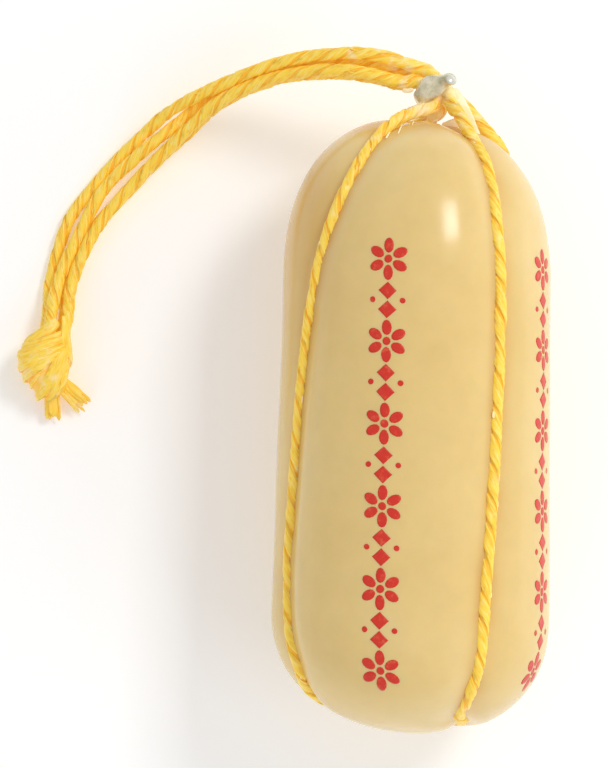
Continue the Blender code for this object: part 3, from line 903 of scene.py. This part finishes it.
# Each bit of wax: its half height and half widths at both ends, then its way, all in mm.
# A place of two numbers lies on the cheese.
WAX_BITS = (
    ((0.22, 0.6, 0.3), ((-4.8, 75.4), (-5.4, 73.6), (-6.0, 71.6))),
    ((0.22, 0.5, 0.25), ((-2.0, 75.7), (-2.2, 74.9), (-2.5, 73.9))),
    ((0.2, 0.5, 0.3), ((-8.2, 73.3), (-8.6, 72.2), (-9.2, 71.0))),
    ((0.4, 0.7, 0.5), ((3.0, 76.0, 33.0), (3.6, 76.2, 34.2), (4.3, 76.4, 35.2))),
    ((0.16, 1.4, 0.5), ((7.8, 84.2, 35.0), (11.6, 78.4, 36.6), (14.4, 72.6, 38.4))),
    ((0.2, 1.3, 1.6), ((5.4, 74.9, 33.2), (8.0, 75.5, 34.4), (10.4, 76.3, 36.0))),
    ((0.3, 1.0, 0.8), ((-0.8, 80.2, 37.0), (1.0, 79.6, 38.0), (2.6, 79.8, 37.9))),
    ((0.3, 0.8, 0.6), ((-4.8, 83.6, 35.4), (-3.4, 83.4, 36.4), (-2.0, 83.7, 37.1))),
)
LOOSE_WAX_GLOW = 0.18  # a painted glow: the wax gives off its own colour, for the light that comes through it from behind
WAX_CUT, BEAD_CUT = (0.4 * MM, 12, 0.7 * MM), (0.35 * MM, 12, 0.6 * MM)
WAX_LIFT = 0.3 * MM
BEAD_COUNT, BEAD_SPREAD = 60, 0.618  # and the share of the string from one to the next
BEAD_MARGIN = 8  # stations without a bead at each end
# The mean and swing, in mm, of a bead's place beside and over the string, half its length
# and half its width.
BEAD_ASIDE, BEAD_OUT, BEAD_REACH, BEAD_WIDTH = (1.2, 0.5), (0.6, 0.6), (0.7, 0.9), (0.32, 0.25)
BEAD_HEIGHT = 0.24 * MM


def over_cheese(x, y, rise):
    """The point of the cheese's upper side over this place, or this far above it."""
    along = round(along_at(y), 6)
    return surface(asin(max(-1, min(1, x / ring(along)[1]))), along, rise)


def loose_wax_finish():
    made, tree, shader = new_finish("loose_wax", Roughness=0.22, IOR=1.44, Emission_Strength=LOOSE_WAX_GLOW)
    coords = object_places(tree)
    grain = speckle(tree, coords, 300, 4)
    colour = ramp(tree, grain, (0.3, (0.97, 0.74, 0.34)), (0.65, (0.99, 0.90, 0.66)))
    # The emission is a painted glow of the wax's own colour.
    feed(tree, shader, Base_Color=colour, Emission_Color=colour)
    bump(tree, shader, speckle(tree, coords, 700, 4), 0.1 * MM, 0.6)
    return made


def wax_point(x, y, z=None):
    return over_cheese(x * MM, y * MM, WAX_LIFT) if z is None else Vector((x, y, z)) * MM


def make_loose_wax():
    net = new_net()
    for number, (shape, places) in enumerate(WAX_BITS):
        points = [wax_point(*place) for place in places]
        length = (points[-1] - points[0]).length
        shape = [part * MM for part in shape]
        add_strip(net, points, length, UP, Vector((number, 60, 3)), shape, WAX_CUT)
    for number in range(BEAD_COUNT):
        path = string_paths[number % 2]
        stray = stray_at(Vector((1.7 * number, 9, 4)))
        share = (number * BEAD_SPREAD) % 1
        station = BEAD_MARGIN + round((len(path) - 2 * BEAD_MARGIN) * share)
        way = way_at(path, station)
        out = Vector((path[station].x, 0, path[station].z - crown(path[station].y))).normalized()
        side = way.cross(out) * (1 if stray.x > 0 else -1)
        middle = path[station] + side * (BEAD_ASIDE[0] + BEAD_ASIDE[1] * stray.y) * MM
        middle += out * (BEAD_OUT[0] + BEAD_OUT[1] * stray.z) * MM
        reach = (BEAD_REACH[0] + BEAD_REACH[1] * abs(stray.z)) * MM
        bead = [middle - way * reach, middle, middle + way * reach]
        shape = (BEAD_HEIGHT, (BEAD_WIDTH[0] + BEAD_WIDTH[1] * stray.x) * MM)
        add_strip(net, bead, 2 * reach, out, Vector((number, 70, 3)), shape, BEAD_CUT)
    return net


show("loose_wax", make_loose_wax(), loose_wax_finish())


# ------------------
# The knot: the four strands tied together in one overhand knot and cut short below it.
# Its flattened plies fan out from a hinge on the upper right, one loop goes round its top
# left, and the two cut bundles below have frayed into strips of film.

# Its outline at places down the tail, in mm: (Y, left X, right X, top Z).
KNOT_OUTLINE = (
    (4.6, -96.0, -90.4, 6.2), (6.4, -98.0, -89.0, 9.0), (8.8, -99.8, -88.2, 11.6),
    (12.0, -101.4, -88.1, 12.9), (15.0, -102.0, -88.0, 13.0), (18.2, -100.7, -87.9, 12.4),
    (21.6, -98.2, -87.7, 10.8), (24.5, -96.7, -87.6, 9.0),
)
KNOT_CORE = 0.88  # the lump under the bands, as a share of the outline
KNOT_CORE_SEGMENTS, KNOT_CORE_BLUNT = (40, 28), 3
KNOT_CORE_SHADE = 0.8  # painted shade on the lump under the bands, nearly as dark as the folds
KNOT_SQUARE = 0.85
KNOT_HEART = 5.5 * MM  # height of the line that the bands go round
BAND_HEIGHT = 0.6 * MM

# The bands that fan out from the hinge to the left and under: their half widths at both
# ends and how high they stand over the outline, then where they pass the hinge and the
# left side along Y, all in mm.
KNOT_FAN = (
    ((1.2, 1.5), -0.75, 21.6, 17.4), ((1.2, 1.5), -0.4, 20.3, 15.6), ((1.2, 1.4), -0.9, 19.1, 14.0),
    ((1.2, 1.4), -0.4, 18.1, 12.5), ((1.2, 1.4), -0.9, 17.4, 11.1), ((1.2, 1.4), -0.45, 16.9, 9.8),
    ((1.2, 1.4), -1.3, 16.4, 8.4),
)
FAN_TURNS = tuple(range(36, 222, 15))

# The loop round the top left, the strand that comes in on the right and goes under, and
# the bands that run from it down to the left: the same, with places as (degrees round the
# knot from its right side over the top, Y).
KNOT_BANDS = (
    ((1.5, 2.3), -1.0, (
        (84, 24.6), (96, 23.4), (108, 22.2), (128, 20.4), (150, 18.6), (175, 17.2), (205, 16.6))),
    ((1.5, 2.0), -0.6, ((50, 17.2), (60, 13.8), (74, 10.4), (94, 7.8), (118, 6.3), (150, 5.9), (200, 6.2))),
    ((1.4, 1.8), -0.3, ((26, 19.4), (42, 15.4), (58, 11.4), (72, 8.2), (88, 6.0), (104, 5.0))),
    ((1.4, 1.6), -0.6, ((10, 15.4), (28, 12.2), (44, 9.2), (60, 6.8), (72, 5.2))),
    ((1.5, 1.7), -0.2, ((56, 26.0), (51, 23.5), (45, 20.8), (34, 18.4), (18, 16.4), (-2, 14.8), (-22, 14.2))),
)

# Each frayed end, in mm: where it starts and where it ends, how many strips it has, and
# how wide it is at both ends.
KNOT_ENDS = (
    ((-93.0, 10.4, 5.0), (-93.0, -0.2, 2.4), 12, (1.1, 1.5)),
    ((-91.6, 9.6, 5.4), (-85.3, 3.2, 2.4), 14, (1.2, 2.0)),
)
STRIP_SHAPE, STRIP_CUT = (0.28 * MM, 0.8 * MM), (0.9 * MM, 10, 0.9 * MM)
# In mm: between the layers of strips, how far an end strays sideways, up and along, and how
# far a middle strays sideways and stands up.
STRIP_LEVELS, STRIP_STRAYS, STRIP_BOW = 0.5, (0.5, 1.2, 2.6), (0.6, 0.35)
STRIP_TURN = 1.3  # how far it turns on to its edge
STRIP_FLOOR = 0.8 * MM


def on_knot(turn, y, lift):
    """The point of the knot's outline at this turn round it, or this far above it."""
    left, right, top = curves(KNOT_OUTLINE, y)
    across, up = (squared(c, KNOT_SQUARE) for c in (cos(turn), sin(turn)))
    x = (left + right) / 2 + ((right - left) / 2 + lift) * across
    return Vector((x, y, top / 2 + (top / 2 + lift) * up)) * MM


def knot_core(net):
    """The lump of pressed strands under the bands."""
    first, last = KNOT_OUTLINE[0][0], KNOT_OUTLINE[-2][0]
    crease = net.verts.layers.float["crease"]
    segments, rings = KNOT_CORE_SEGMENTS
    ball = bmesh.ops.create_uvsphere(net, u_segments=segments, v_segments=rings, radius=1)
    for vert in ball["verts"]:
        pole, turn = acos(max(-1, min(1, vert.co.z))), atan2(vert.co.y, vert.co.x)
        y = first + (last - first) * (1 - pole / pi)
        left, right, top = curves(KNOT_OUTLINE, y)
        size = KNOT_CORE * min(1, sin(pole) * KNOT_CORE_BLUNT)
        x = (left + right) / 2 + (right - left) / 2 * size * cos(turn)
        vert.co = Vector((x, y, top / 2 * (1 + size * sin(turn)))) * MM
        vert[crease] = KNOT_CORE_SHADE


def add_band(net, half_widths, lift, places, seed):
    """One flattened ply over the knot, through these places."""
    path = route([on_knot(radians(turn), y, lift) for turn, y in places], TWINE_STEP)
    radials = []
    for i, point in enumerate(path):
        left, right, _ = curves(KNOT_OUTLINE, point.y / MM)
        radial = point - Vector(((left + right) / 2 * MM, point.y, KNOT_HEART))
        way = way_at(path, i)
        radials.append((radial - radial.dot(way) * way).normalized())
    length = TWINE_STEP * (len(path) - 1)
    add_ply(net, path, radials, length, seed, (BAND_HEIGHT, *(width * MM for width in half_widths)))


def fan_places(hinge, side):
    """Places in a straight line, as seen from above, from the hinge to the left side."""
    first = squared(cos(radians(FAN_TURNS[0])), KNOT_SQUARE)
    places = []
    for turn in FAN_TURNS:
        here = squared(cos(radians(min(turn, 180))), KNOT_SQUARE)
        share = (first - here) / (first + 1)
        places.append((turn, hinge + (side - hinge) * share))
    return places


def add_frayed_end(net, start, end, count, half_widths, seed):
    """A bundle of flat strips, side by side and a little over each other."""
    start, end = Vector(start) * MM, Vector(end) * MM
    way = (end - start).normalized()
    side = way.cross(UP).normalized()
    for number in range(count):
        share = 2 * number / (count - 1) - 1
        stray = stray_at(Vector((3.7 * number, 1, 2)) + seed)
        level = (number % 3 - 1) * STRIP_LEVELS * MM
        first = start + side * share * half_widths[0] * MM + UP * level
        sideways, up, ahead = STRIP_STRAYS
        last = end + side * (share * half_widths[1] + sideways * stray.x) * MM
        last = last + UP * (level + stray.y * up * MM) + way * stray.z * ahead * MM
        last.z = max(last.z, STRIP_FLOOR)
        sideways, up = STRIP_BOW
        middle = (first + last) / 2 + side * stray.y * sideways * MM + UP * up * MM
        turn = STRIP_TURN * stray.z
        radial = UP * cos(turn) + side * sin(turn)
        points, length = [first, middle, last], (last - first).length
        add_strip(net, points, length, radial, seed + stray, STRIP_SHAPE, STRIP_CUT)


def make_knot():
    net = new_net()
    knot_core(net)
    bands = [(widths, lift, fan_places(hinge, side)) for widths, lift, hinge, side in KNOT_FAN]
    for number, (half_widths, lift, places) in enumerate([*bands, *KNOT_BANDS]):
        add_band(net, half_widths, lift, places, Vector((7 * number, 2, 31)))
    for number, (start, end, count, half_widths) in enumerate(KNOT_ENDS):
        add_frayed_end(net, start, end, count, half_widths, Vector((50 + 9 * number, 4, 8)))
    return net


knot = show("knotted_end", make_knot(), twine_finish("knotted_twine", 0.3, 0.12))
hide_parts("knot")


# ------------------
# The picture: a pale table top, a softbox high on the right, white all round, and a
# camera that looks straight down.

CAMERA_PLACE = Vector((-27.7, 9.8, 834)) * MM
CAMERA_TURN = radians(1.23)
SOFTBOX_TARGET = Vector((5, 51, 63)) * MM
SOFTBOX_WAY = Vector((0.49, 0.47, 0.77)).normalized()
SOFTBOX_LONG = Vector((0.267, -0.859, 0.443))
SOFTBOX_DISTANCE = 1.3
SOFTBOX_SIZE = (0.32, 0.42)
SOFTBOX_POWER = 6.2
FILL_LIGHTS = (  # (the way to it, its size, its power): from the right, and from below on the left
    (Vector((0.8, -0.35, 0.5)), 0.9, 3.9),
    (Vector((-0.55, -0.75, 0.4)), 0.9, 2.4),
)
FILL_DISTANCE = 1.4
SKY = 0.55
TABLE_SIZE, TABLE_GLOW = 6, 0.2
TABLE_GREY = (0.93, 0.93, 0.93, 1)
WHITE = (1, 1, 1, 1)


def make_table():
    net = bmesh.new()
    bmesh.ops.create_grid(net, x_segments=1, y_segments=1, size=TABLE_SIZE / 2)
    table = new_object("table", to_mesh(net, "table"))
    pale = {"Base_Color": TABLE_GREY, "Emission_Color": WHITE, "Emission_Strength": TABLE_GLOW}
    table.data.materials.append(new_finish("pale_table", Roughness=0.6, **pale)[0])


def add_light(name, place, towards, long_way, size, power):
    """A lamp that faces a point, with its length as near to long_way as that allows."""
    data = bpy.data.lights.new(name, "AREA")
    data.shape = "RECTANGLE"
    data.size, data.size_y = size
    data.energy = power
    light = new_object(name, data)
    back = (place - towards).normalized()
    up = (long_way - long_way.dot(back) * back).normalized()
    turn = Matrix((up.cross(back), up, back)).transposed().to_4x4()
    light.matrix_world = Matrix.Translation(place) @ turn
    return light


make_table()
softbox_place = SOFTBOX_TARGET + SOFTBOX_WAY * SOFTBOX_DISTANCE
add_light("softbox", softbox_place, SOFTBOX_TARGET, SOFTBOX_LONG, SOFTBOX_SIZE, SOFTBOX_POWER)
for number, (way, size, power) in enumerate(FILL_LIGHTS):
    place = way.normalized() * FILL_DISTANCE
    fill = add_light(f"fill_{number + 1}", place, Vector(), UP, (size, size), power)
    fill.visible_glossy = False
scene = bpy.context.scene
scene.world = bpy.data.worlds.new("white_room")
scene.world.use_nodes = True
sky = scene.world.node_tree.nodes["Background"].inputs
sky["Color"].default_value, sky["Strength"].default_value = WHITE, SKY
scene.view_settings.view_transform = "Standard"

camera = new_object("camera", bpy.data.cameras.new("camera"))
camera.location = CAMERA_PLACE
camera.rotation_euler = (0, 0, CAMERA_TURN)
camera.data.lens = 150
camera.data.sensor_width = 36
scene.camera = camera
